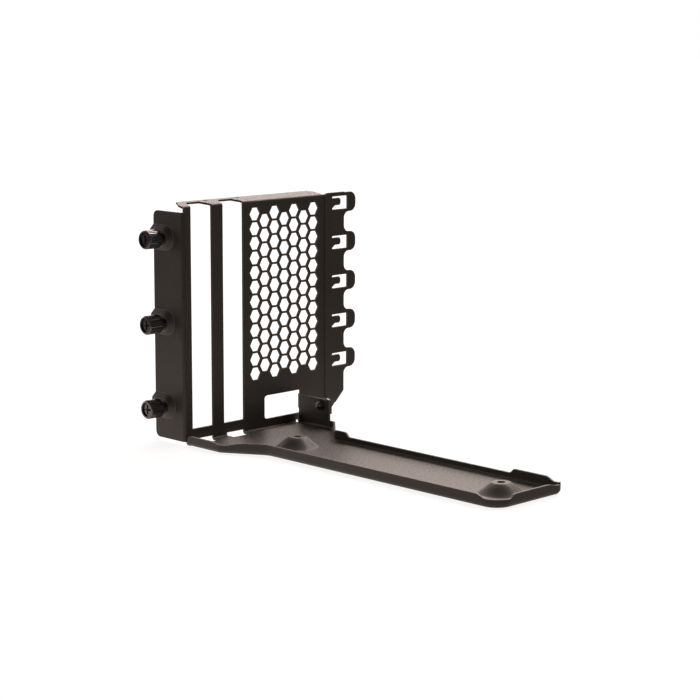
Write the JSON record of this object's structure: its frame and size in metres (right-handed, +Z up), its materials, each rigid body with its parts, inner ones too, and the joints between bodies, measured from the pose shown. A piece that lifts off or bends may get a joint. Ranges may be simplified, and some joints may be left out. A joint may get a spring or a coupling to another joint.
{
  "type": "vertical expansion card bracket",
  "caption": "Folded black steel bracket with card slots, honeycomb vent, riser tray, side hooks and captive thumbscrews, for standing a graphics card upright in a computer case.",
  "frame": {"origin": "underside of the tray, on the tray arm's centre line, midway between the two riser stand-offs", "axes": "+Z up, +Y from the tray's free end towards the back plate, +X towards the hooks and away from the thumbscrews"},
  "size_m": [0.1297, 0.2111, 0.1173],
  "materials": {
    "powder_coat": "fine sand-textured black powder coat",
    "knurled_black": "glossy black plated, straight knurl",
    "black_screw": "satin black plated",
    "zinc": "zinc plated"
  },
  "bodies": {
    "bracket": {"folded_bracket": "powder_coat", "gusset_screw": "black_screw", "gusset_nut": "zinc"},
    "upper_captive_ring": {"upper_retaining_ring": "zinc"},
    "upper_thumbscrew": {"upper_thumb_screw": "black_screw", "upper_thumb_collar": "knurled_black"},
    "middle_captive_ring": {"middle_retaining_ring": "zinc"},
    "middle_thumbscrew": {"middle_thumb_screw": "black_screw", "middle_thumb_collar": "knurled_black"},
    "lower_captive_ring": {"lower_retaining_ring": "zinc"},
    "lower_thumbscrew": {"lower_thumb_screw": "black_screw", "lower_thumb_collar": "knurled_black"}
  },
  "joints": [
    {"name": "upper_screw_travel", "type": "slide", "parent": "bracket", "child": "upper_captive_ring", "axis": [1, 0, 0], "range_m": [0, 0.0016]},
    {"name": "upper_screw_spin", "type": "hinge", "parent": "upper_captive_ring", "child": "upper_thumbscrew", "pos_m": [-0.0376, 0.11935, 0.1004], "axis": [1, 0, 0], "continuous": true},
    {"name": "middle_screw_travel", "type": "slide", "parent": "bracket", "child": "middle_captive_ring", "axis": [1, 0, 0], "range_m": [0, 0.0016]},
    {"name": "middle_screw_spin", "type": "hinge", "parent": "middle_captive_ring", "child": "middle_thumbscrew", "pos_m": [-0.0376, 0.11935, 0.0591], "axis": [1, 0, 0], "continuous": true},
    {"name": "lower_screw_travel", "type": "slide", "parent": "bracket", "child": "lower_captive_ring", "axis": [1, 0, 0], "range_m": [0, 0.0016]},
    {"name": "lower_screw_spin", "type": "hinge", "parent": "lower_captive_ring", "child": "lower_thumbscrew", "pos_m": [-0.0376, 0.11935, 0.0178], "axis": [1, 0, 0], "continuous": true}
  ]
}
